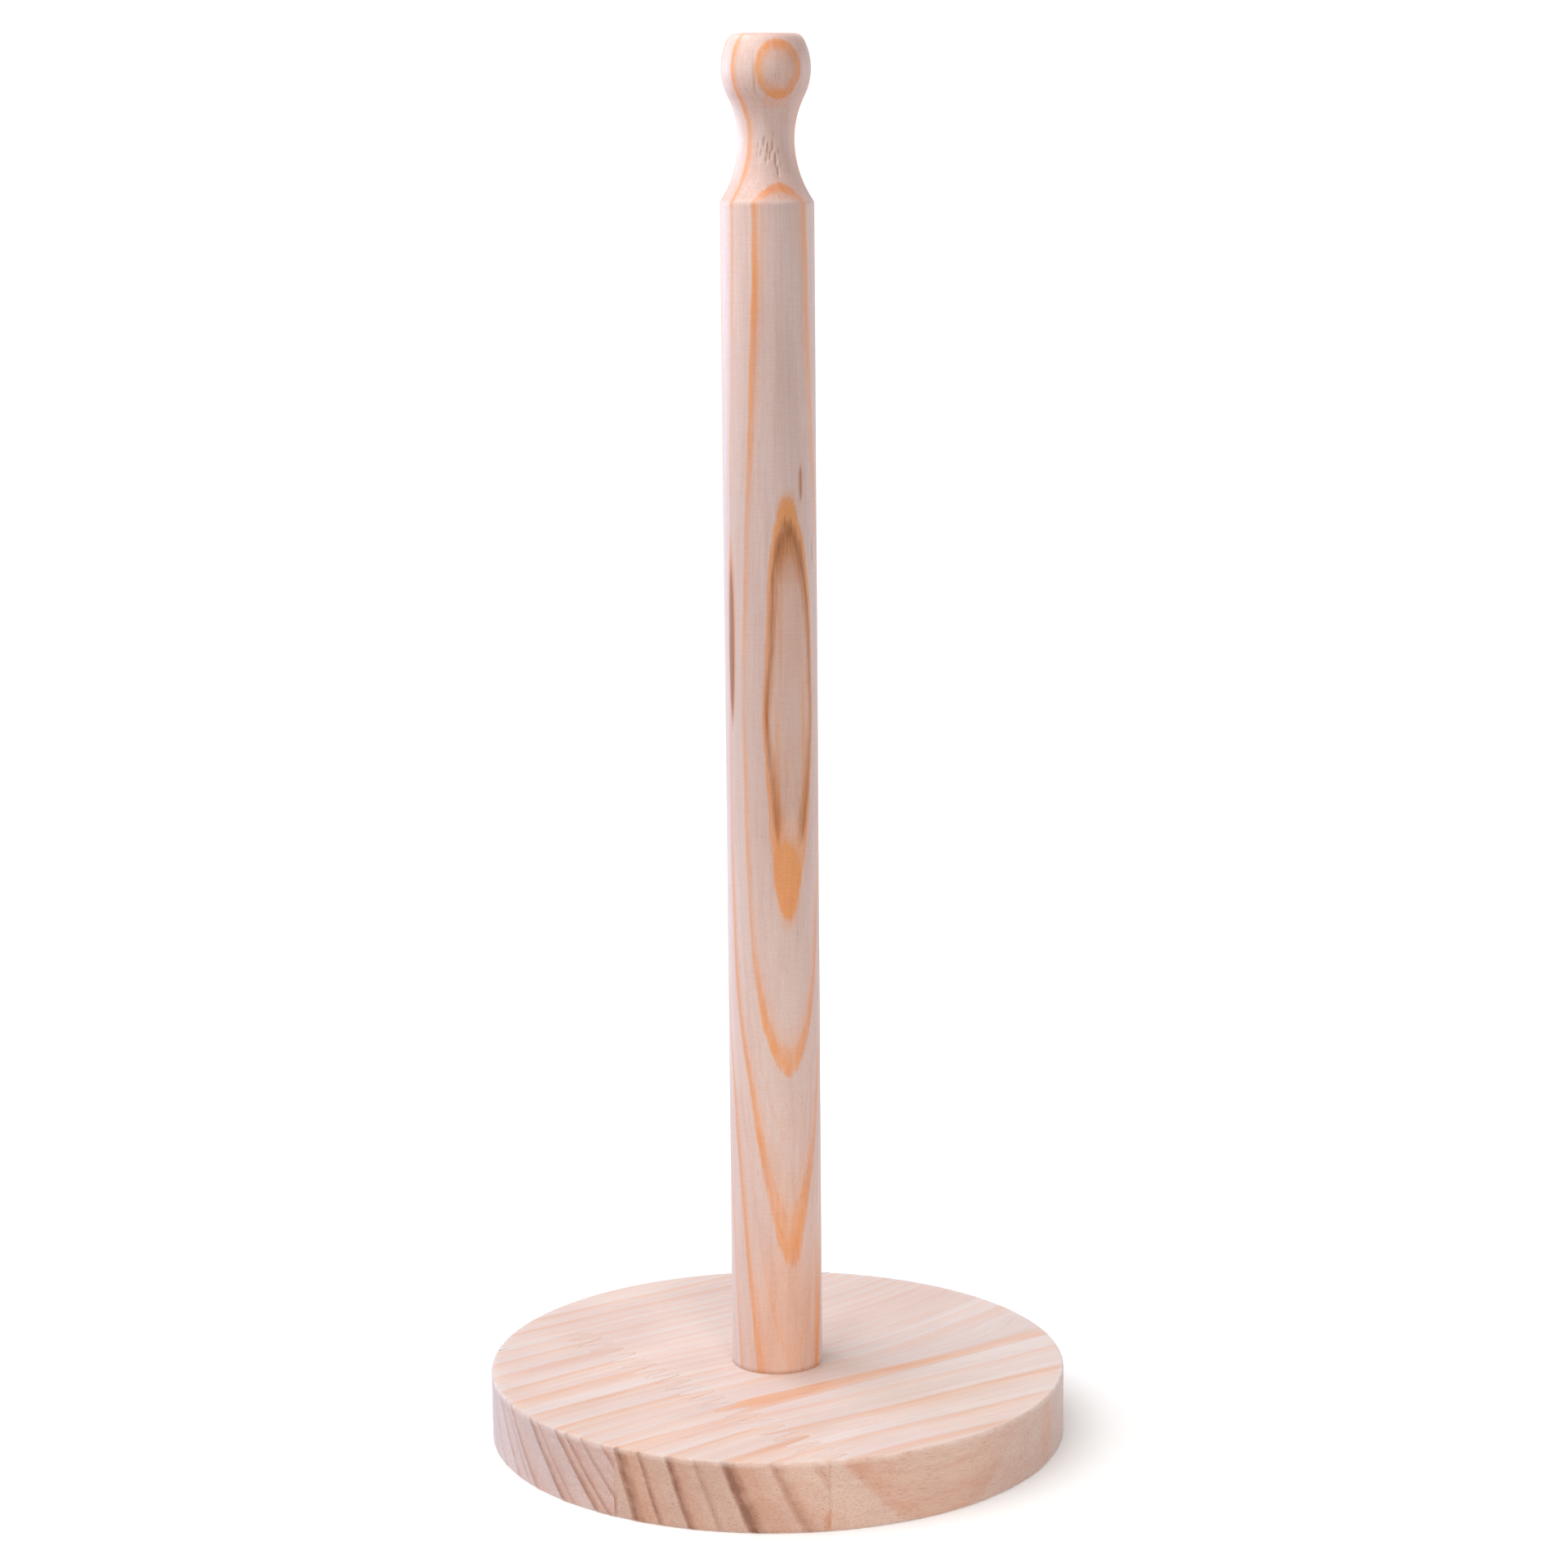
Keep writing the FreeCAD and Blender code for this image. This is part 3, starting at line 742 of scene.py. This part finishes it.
post = {
    "neckAbove": 14.2, "neckRadius": 6.55,            # above the shoulder
    "knobAbove": 30.4, "knobRadius": 10.45, "knobCurve": 14.0, "knobEdge": 2.0,
    "crown": 0.05,                                    # the flat top is this much from flat
    "centreHole": 0.15,                               # radius of the last row, closed by a cap
    "footEase": 0.4,
    "cornerEase": 0.35, "cornerFrom": 2.0,            # the shoulder's worn corner
    "sides": 190, "rowShaft": 1.2, "rowTurned": 0.36, "rowsEdge": 8, "rowsTop": 14,
    "toolMark": 0.02, "toolPitch": 1.3, "sharpAngle": 50.0,
    # the torn pits at the neck darken with their depth: partly the torn fibres' own tone, partly
    # painted shade in the pits
    "relief": 0.03, "nickStainAndShade": 0.5,
    "wornShoulder": 0.8, "wornBrow": (0.8, 1.2),      # width; depth below the top and width
    "plainInside": 5.0,                               # radius of the top that stays unworn
    "footShadow": (0.5, 0.5),                           # darkness and height of the painted contact shadow where it meets the base
    "waves": [(0.12, 17, math.inf, 0), (0.06, 6.3, 3, 0)],
    "seed": 5,
    # rings that are faint over part of the height:
    # (degrees right of the front, full and soft half width, rise, fall, how much fainter)
    "faintRings": [
        (-57.0, (3.0, 4.4), (110, 190), (shoulderAt - 2, shoulderAt), 0.55),
        (-30.0, (2.4, 4.0), (105, 135), (225, 262), 0.38)],
    # which way the growth rings face, and how deep ring A lies as a share of the shaft's radius;
    # each key is (height, value), and its corner is softened over twice this much each way
    "softenFacing": 6, "softenRingA": 2.5,
    "facing": [
        (0, 19), (122, 19), (141, 21), (160, 24), (178, 26), (206, 26), (225, 23), (239, 20),
        (336, 18)],
    "ringA": [
        (11, 1.74), (19.5, 1.715), (37, 1.58), (44.4, 1.50), (58.5, 1.40), (67.5, 1.31),
        (92.7, 1.03), (98.3, 0.93), (106, 0.85), (121.7, 0.705), (129, 0.675), (140.6, 0.60),
        (159.5, 0.52), (178, 0.435), (206.3, 0.50), (220, 0.58), (228, 0.648), (239.2, 0.702),
        (250, 0.75), (272.8, 0.80), (297, 0.83), (304, 0.782), (317, 0.80), (327.3, 0.847),
        (336, 0.857)],
    "rings": [
        (-35.0, 1.4, 0.6, 0.1), (-30.2, 1.2, 0.5, 0.1), (-25.3, 1.3, 0.5, 0.1),
        (-20.3, 1.4, 0.7, 0.15), (-17.8, 0.5, 0.2, 0.0), (-15.2, 1.5, 0.7, 0.1),
        (-12.8, 0.5, 0.2, 0.0), (-10.4, 1.5, 0.85, 0.12), (-7.6, 0.5, 0.2, 0.0),
        (-4.85, 1.5, 0.95, 0.06), (-2.4, 0.4, 0.12, 0.0), (0.1, 1.35, 1.0, 0.03),
        (4.15, 0.8, 1.0, 0.0), (4.6, 0.95, 0.8, 0.8), (5.4, 1.6, 0.22, 0.05),
        (8.0, 1.3, 0.7, 0.2)],
}

# one-off marks: (degrees right of the front, height, half width, half height, warmth, stain)
postMarks = [
    (-57.0, 198.0, 1.6, 21.0, 0.9, 0.25),            # resin streak on the left
    (-57.0, 195.0, 0.9, 18.0, 0.3, 1.4),
    (41.4, 233.0, 0.55, 4.5, 0.5, 0.6),
    (63.0, 217.0, 0.4, 3.5, 0.0, 0.4),
    (22.0, 227.0, 3.0, 4.6, 0.35, 0.1),               # warm tips of the flame
    (25.0, 217.0, 4.0, 8.0, 0.18, 0.14),
    (20.0, 138.0, 3.2, 10.5, 0.8, 0.0),
    (28.0, 205.0, 4.4, 18.0, 0.08, 0.04),
    (26.0, 170.0, 5.0, 26.0, 0.05, 0.04),
    (20.0, 136.0, 6.0, 17.0, 0.0, -0.8),
    (44.0, 170.0, 1.1, 22.0, 0.3, 0.0),
    (6.0, 163.0, 0.9, 18.0, 0.3, 0.0),
    (12.0, 200.0, 0.7, 13.0, 0.2, 0.0),
    (14.0, 320.6, 3.4, 2.2, 0.3, 0.0),
    (-15.4, 325.5, 0.25, 5.0, 0.2, 0.3),
    # a broad warm patch low on the front: painted warm light bounced up from the base
    (14.0, 28.0, 9.0, 24.0, 0.27, 0.0),
    (63.0, 30.0, 1.5, 24.0, 0.55, 0.0),
]

# torn grain at the neck: (degrees right of the front, height, half width, half height, depth)
postNicks = [
    (-4.0, 311.0, 0.38, 1.3, 0.26), (3.0, 309.6, 0.3, 1.5, 0.3), (8.0, 308.2, 0.36, 1.2, 0.3),
    (13.0, 310.2, 0.28, 1.4, 0.26), (18.0, 307.0, 0.28, 1.8, 0.34), (21.0, 304.4, 0.26, 1.4, 0.3),
    (-10.0, 308.6, 0.26, 1.0, 0.2), (-16.0, 310.0, 0.26, 0.9, 0.16), (25.0, 309.0, 0.24, 0.9, 0.18),
    (15.0, 313.0, 0.24, 1.0, 0.16), (0.0, 307.0, 0.22, 0.9, 0.2), (28.0, 306.0, 0.2, 0.8, 0.12),
]

postLook = {
    "early": rgb(213, 191, 184), "amber": rgb(226, 156, 98), "brown": rgb(152, 92, 40),
    "cloud": rgb(240, 232, 228), "endTint": rgb(238, 216, 206),
    "lead": -0.6, "faceBrown": 1.0, "endAmber": 1.0, "wander": 0.3, "rag": 0.6,
    "streak": 0.36, "blotch": 0.4,
    "toolMarks": 0.32, "fineness": 7600.0, "wear": 0.35, "bump": 0.45,
}


def turnedProfile():
    # rows of (height, radius) from foot to crown, in mm
    shaft = shaftRadius
    neckAt = shoulderAt + post["neckAbove"]
    neck = post["neckRadius"]
    knobAt = shoulderAt + post["knobAbove"]
    knob = post["knobRadius"]
    curve = post["knobCurve"]
    edge = post["knobEdge"]
    top = postHigh.z
    hollow = shaft - neck
    lower = (hollow ** 2 + post["neckAbove"] ** 2) / (2 * hollow)
    gap = neck - (knob - curve)
    rise = knobAt - neckAt
    upper = (gap ** 2 + rise ** 2 - curve ** 2) / (2 * (curve - gap))
    swing = math.atan2(rise, upper + gap)
    swayHeight = neckAt + upper * math.sin(swing)
    edgeHeight = top - edge
    lift = edgeHeight - knobAt
    edgeCentre = knob - curve + math.sqrt((curve - edge) ** 2 - lift ** 2)
    brow = math.asin(lift / (curve - edge))
    browHeight = knobAt + curve * math.sin(brow)

    def radiusAt(height):
        if height <= shoulderAt:
            return shaft
        if height <= neckAt:
            return neck + lower - math.sqrt(lower ** 2 - (height - neckAt) ** 2)
        if height <= swayHeight:
            return neck + upper - math.sqrt(upper ** 2 - (height - neckAt) ** 2)
        if height <= browHeight:
            return knob - curve + math.sqrt(curve ** 2 - (height - knobAt) ** 2)
        return edgeCentre + math.sqrt(max(edge ** 2 - (height - edgeHeight) ** 2, 0))

    foot = postLow.z
    ease = post["footEase"]
    row = post["rowShaft"]
    rows = [(foot, shaft - ease), (foot + ease / 2, shaft - ease / 2)]
    heights = [foot + ease]
    heights += list(np.arange(foot + row, shoulderAt - row, row))
    heights += list(np.arange(shoulderAt - row, browHeight, post["rowTurned"]))
    for height in heights:
        # the corner at the shoulder is eased by averaging the profile over a short stretch
        reach = post["cornerEase"] if height > shoulderAt - post["cornerFrom"] else 0
        around = [radiusAt(height + reach * share) for share in (-1, -0.5, 0, 0.5, 1)]
        rows.append((height, min(sum(around) / len(around), shaft)))
    crown = post["crown"]
    for step in range(1, post["rowsEdge"] + 1):
        angle = brow + (math.pi / 2 - brow) * step / post["rowsEdge"]
        height = edgeHeight + edge * math.sin(angle) - crown
        rows.append((height, edgeCentre + edge * math.cos(angle)))
    for step in range(1, post["rowsTop"] + 1):
        share = step / post["rowsTop"]
        radius = edgeCentre * (1 - share) + post["centreHole"] * share
        rows.append((top - crown + crown * share, radius))
    return rows


def turningTree():
    tree, given, result = newGroup(
        "turning",
        [("Geometry", "Geometry"), ("Sides", "Int"), ("Mark Depth", "Float"),
         ("Mark Pitch", "Float"), ("Seed", "Int"), ("Wood", "Material")],
        [("Geometry", "Geometry")], "GeometryNodeTree")
    axis = addNode(tree, "GeometryNodeMeshToCurve", {"Mesh": given["Geometry"]})
    radius = addNode(tree, "GeometryNodeInputNamedAttribute", {"Name": "turnRadius"},
                     data_type="FLOAT")
    circle = addNode(tree, "GeometryNodeCurvePrimitiveCircle", {
        "Resolution": given["Sides"], "Radius": 1.0})
    turned = addNode(tree, "GeometryNodeCurveToMesh", {
        "Curve": axis.outputs[0], "Profile Curve": circle.outputs[0],
        "Scale": radius.outputs[0], "Fill Caps": True})
    # fine level grooves: each height is cut in by its own small amount
    place = addNode(tree, "GeometryNodeInputPosition")
    x, y, z = addNode(tree, "ShaderNodeSeparateXYZ", {0: place.outputs[0]}).outputs
    seedStep = 0.37                                   # metres of the pattern from seed to seed
    seeded = calc(tree, "ADD", z, times(tree, given["Seed"], seedStep))
    waves = addNode(tree, "ShaderNodeTexNoise", {
        "W": calc(tree, "DIVIDE", seeded, given["Mark Pitch"]), "Scale": 1.0, "Detail": 1.0},
        noise_dimensions="1D")
    outward = addNode(tree, "ShaderNodeCombineXYZ", {0: x, 1: y})
    outward = addNode(tree, "ShaderNodeVectorMath", {0: outward.outputs[0]}, operation="NORMALIZE")
    cut = times(tree, waves.outputs[0], given["Mark Depth"], -1.0)
    shift = addNode(tree, "ShaderNodeVectorMath", {0: outward.outputs[0], "Scale": cut},
                    operation="SCALE")
    marked = addNode(tree, "GeometryNodeSetPosition", {
        "Geometry": turned.outputs[0], "Offset": shift.outputs[0]})
    real = addNode(tree, "GeometryNodeRealizeInstances", {0: marked.outputs[0]})
    wood = addNode(tree, "GeometryNodeSetMaterial", {
        "Geometry": real.outputs[0], "Material": given["Wood"]})
    tree.links.new(wood.outputs[0], result["Geometry"])
    return tree


def setInput(modifier, name, value):
    for item in modifier.node_group.interface.items_tree:
        if item.name == name and item.in_out == "INPUT":
            modifier[item.identifier] = value


def bakeTree(name, seedMesh, tree, values):
    # evaluates a tree on a mesh and gives back a plain mesh
    carrier = newObject(name + "Carrier", seedMesh)
    modifier = carrier.modifiers.new("tree", "NODES")
    modifier.node_group = tree
    for key, value in values.items():
        setInput(modifier, key, value)
    bpy.context.view_layer.update()
    evaluated = carrier.evaluated_get(bpy.context.evaluated_depsgraph_get())
    mesh = bpy.data.meshes.new_from_object(evaluated)
    mesh.name = name
    carrier.modifiers.remove(modifier)
    bpy.data.objects.remove(carrier)
    return mesh


def postDepth(points):
    height = points[:, 2]

    def along(keys, soften):
        # value between the keys, with their corners softened
        shifts = np.array([-2, -1, 0, 1, 2]) * soften
        return sum(np.interp(height + shift, *zip(*keys)) for shift in shifts) / len(shifts)

    facing = np.radians(along(post["facing"], post["softenFacing"]) - 90)
    toward = points[:, 0] * np.cos(facing) + points[:, 1] * np.sin(facing)
    aside = -points[:, 0] * np.sin(facing) + points[:, 1] * np.cos(facing)
    depth = toward - along(post["ringA"], post["softenRingA"]) * shaftRadius
    depth += ringWander(height, aside, post["waves"])
    return depth, aside


def roundThePost(points, angle):
    # distance in mm round the surface from a line so many degrees right of the front
    turn = np.arctan2(points[:, 0], -points[:, 1]) - math.radians(angle)
    turn = (turn + math.pi) % (2 * math.pi) - math.pi
    return turn * np.hypot(points[:, 0], points[:, 1])


def postTones(points):
    height = points[:, 2]

    def spotOn(angle, middle, halfWide, halfTall):
        return softSpot(roundThePost(points, angle), height - middle, halfWide, halfTall)

    show, warmth, stainAndShade = blankTones(points)
    for *place, warm, dark in postMarks:
        spot = spotOn(*place)
        warmth += warm * spot
        stainAndShade += dark * spot
    nicks = sum(depth * spotOn(*place) for *place, depth in postNicks)
    # a painted contact shadow: a fine dark line where the foot meets the base
    footShade, footTall = post["footShadow"]
    stainAndShade += footShade * (1 - smoothStep(height, boardTop, boardTop + footTall))
    for angle, width, rise, fall, fainter in post["faintRings"]:
        aside = np.abs(roundThePost(points, angle))
        show -= fainter * (1 - smoothStep(aside, *width)) * between(height, rise, fall)
    # the sunk nicks darken by their depth: partly stain, partly painted shade in the pits
    return np.column_stack([show, warmth, stainAndShade + nicks * post["nickStainAndShade"]]), nicks


def buildPost():
    rows = turnedProfile()
    axis = bpy.data.meshes.new("postAxis")
    axis.from_pydata([(0, 0, height * mm) for height, radius in rows],
                     [(i, i + 1) for i in range(len(rows) - 1)], [])
    layer = axis.attributes.new("turnRadius", "FLOAT", "POINT")
    layer.data.foreach_set("value", [radius * mm for height, radius in rows])
    material = makeWood("pine_turned", postLook, post["rings"])
    mesh = bakeTree("postTurned", axis, turningTree(), {
        "Sides": post["sides"], "Mark Depth": post["toolMark"] * mm,
        "Mark Pitch": post["toolPitch"] * mm, "Seed": post["seed"], "Wood": material})
    points = meshPoints(mesh)
    normals = meshNormals(mesh)
    depth, aside = postDepth(points)
    early = 1 - np.clip(lateWood(depth, post["rings"], postLook["lead"]), 0, 1)
    tones, nicks = postTones(points)
    points -= normals * (post["relief"] * early + nicks)[:, None]
    movePoints(mesh, points)
    height = points[:, 2]
    radius = np.hypot(points[:, 0], points[:, 1])
    endGrain = np.abs(normals[:, 2])
    browDown, browWide = post["wornBrow"]
    shoulder = nearEdge(height - shoulderAt, post["wornShoulder"])
    brow = nearEdge(height - (postHigh.z - browDown), browWide) * (radius > post["plainInside"])
    storeFields(mesh, np.column_stack([height, depth, aside]),
                np.column_stack([endGrain, np.maximum(shoulder, brow), 1 - endGrain]), tones)
    mesh.shade_smooth()
    mesh.set_sharp_from_angle(angle=math.radians(post["sharpAngle"]))
    print("post", len(mesh.polygons), "faces, radius", radius.max(), "height", height.max())
    return addPiece(mesh, "postTurned", material, "post_pine", "post")


buildPost()
print("post ready")


# the screw under the base keeps its CAD shape

# scales are repeats per metre, and the depth is in mm
screw = {
    "gold": rgb(206, 182, 118), "grey": rgb(190, 186, 170), "patches": (0.35, 0.65),
    "cloudScale": 700.0, "scratchScale": (9000.0, 700.0, 700.0),
    "scratchDepth": 0.02, "scratchBump": 0.3, "roughness": (0.28, 0.45),
}


def makeZinc(name):
    material, tree = newMaterial(name)
    where = tree.nodes.new("ShaderNodeTexCoord").outputs["Object"]
    cloud = noise(tree, where, scale=screw["cloudScale"], detail=4.0)
    scratch = noise(tree, stretch(tree, where, screw["scratchScale"]), detail=2.0)
    tone = addNode(tree, "ShaderNodeValToRGB", {"Fac": cloud})
    elements = tone.color_ramp.elements
    for element, place, key in zip(elements, screw["patches"], ("gold", "grey")):
        element.position = place
        element.color = screw[key]
    bump = addNode(tree, "ShaderNodeBump", {
        "Height": scratch, "Strength": screw["scratchBump"],
        "Distance": screw["scratchDepth"] * mm})
    shader = addNode(tree, "ShaderNodeBsdfPrincipled", {
        "Base Color": tone.outputs[0], "Metallic": 1.0,
        "Roughness": spread(tree, scratch, 0.3, 0.7, *screw["roughness"]),
        "Normal": bump.outputs[0]})
    addNode(tree, "ShaderNodeOutputMaterial", {"Surface": shader.outputs[0]})
    return material


zinc = makeZinc("zincYellow")
for slot in frame["nodes"]["base_screw"].material_slots:
    slot.link = "OBJECT"
    slot.material = zinc
print("screw ready")


# stage, light and camera

studio = {
    # lengths are in metres
    "floor": (0.85, 0.85, 0.85, 1.0), "floorGlow": 0.16, "floorSize": 30.0,
    "backdrop": 1.05, "ambient": 0.42, "ambientColor": (1.0, 0.985, 0.98, 1.0),
    # soft sun: direction it comes from, angle across, strength
    "sunFrom": (-0.50, -0.06, 0.86), "sunAngle": 70.0, "sunPower": 2.5,
    "sunColor": (0.985, 0.99, 1.0),
    # name: (position, aim, size, power, beam in degrees, colour)
    "lights": {
        "sideLeft": ((-1.1, 0.80, 0.35), (0, 0, 0.16), 0.7, 7.0, 170, (0.40, 0.66, 1.0)),
        "sideRight": ((1.2, 0.7, 0.35), (0, 0, 0.16), 0.7, 2.0, 170, (0.95, 0.92, 1.0)),
        "lowFront": ((0.14, -0.55, 0.16), (0, 0, 0.0), 0.20, 0.063, 32, (1.0, 0.92, 0.79)),
        "highLeft": ((-0.28, -0.12, 0.80), (0, 0, 0.318), 0.08, 0.016, 10, (0.95, 0.98, 1.0)),
    },
}

# lens and sensor are in mm, tilt and roll in radians
view = {
    "lens": 81.88, "sensor": 36.0, "tilt": 0.17702, "roll": -0.008614,
    "place": (2.798, -836.718, 310.083),              # mm
    "nearest": 0.01, "farthest": 50.0,                # metres
}


def aimed(way):
    # the turn that points a lamp or a camera, which look down their own -Z
    return way.to_track_quat("-Z", "Y")


def makeStage():
    half = studio["floorSize"] / 2
    mesh = bpy.data.meshes.new("floor")
    mesh.from_pydata([(-half, -half, 0), (half, -half, 0), (half, half, 0), (-half, half, 0)],
                     [], [(0, 1, 2, 3)])
    floor = newObject("floor", mesh)
    material, tree = newMaterial("paleFloor")
    shader = addNode(tree, "ShaderNodeBsdfPrincipled", {
        "Base Color": studio["floor"], "Roughness": 0.9, "Specular IOR Level": 0.0,
        "Emission Color": studio["floor"], "Emission Strength": studio["floorGlow"]})
    addNode(tree, "ShaderNodeOutputMaterial", {"Surface": shader.outputs[0]})
    mesh.materials.append(material)
    # white paper behind the object, as the camera and reflections see it; the rest of the light
    # from all round is softer
    world = bpy.data.worlds.new("studioWorld")
    world.use_nodes = True
    tree = world.node_tree
    tree.nodes.clear()
    rays = tree.nodes.new("ShaderNodeLightPath").outputs
    diffuse = addNode(tree, "ShaderNodeBackground", {
        "Color": studio["ambientColor"], "Strength": studio["ambient"]})
    paper = addNode(tree, "ShaderNodeBackground", {
        "Color": (1.0, 1.0, 1.0, 1.0), "Strength": studio["backdrop"]})
    shown = addNode(tree, "ShaderNodeMixShader", {
        0: calc(tree, "MAXIMUM", rays["Is Camera Ray"], rays["Is Glossy Ray"]),
        1: diffuse.outputs[0], 2: paper.outputs[0]})
    addNode(tree, "ShaderNodeOutputWorld", {"Surface": shown.outputs[0]})
    bpy.context.scene.world = world


def makeLights():
    sun = bpy.data.lights.new("softSun", "SUN")
    sun.angle = math.radians(studio["sunAngle"])
    sun.energy = studio["sunPower"]
    sun.color = studio["sunColor"]
    newObject("softSun", sun).rotation_euler = aimed(-Vector(studio["sunFrom"])).to_euler()
    for name, (place, aim, width, power, beam, color) in studio["lights"].items():
        data = bpy.data.lights.new(name, "AREA")
        data.shape = "DISK"
        data.size = width
        data.energy = power
        data.spread = math.radians(beam)
        data.color = color
        lamp = newObject(name, data)
        lamp.location = place
        lamp.rotation_euler = aimed(Vector(aim) - Vector(place)).to_euler()


def makeCamera():
    data = bpy.data.cameras.new("camera")
    data.lens = view["lens"]
    data.sensor_width = view["sensor"]
    data.clip_start = view["nearest"]
    data.clip_end = view["farthest"]
    camera = newObject("camera", data)
    camera.location = [part * mm for part in view["place"]]
    turn = aimed(Vector((0, math.cos(view["tilt"]), -math.sin(view["tilt"])))).to_matrix().to_4x4()
    camera.rotation_euler = (turn @ Matrix.Rotation(view["roll"], 4, "Z")).to_euler()
    bpy.context.scene.camera = camera


makeStage()
makeLights()
makeCamera()
bpy.context.scene.view_settings.view_transform = "Standard"
print("studio ready")
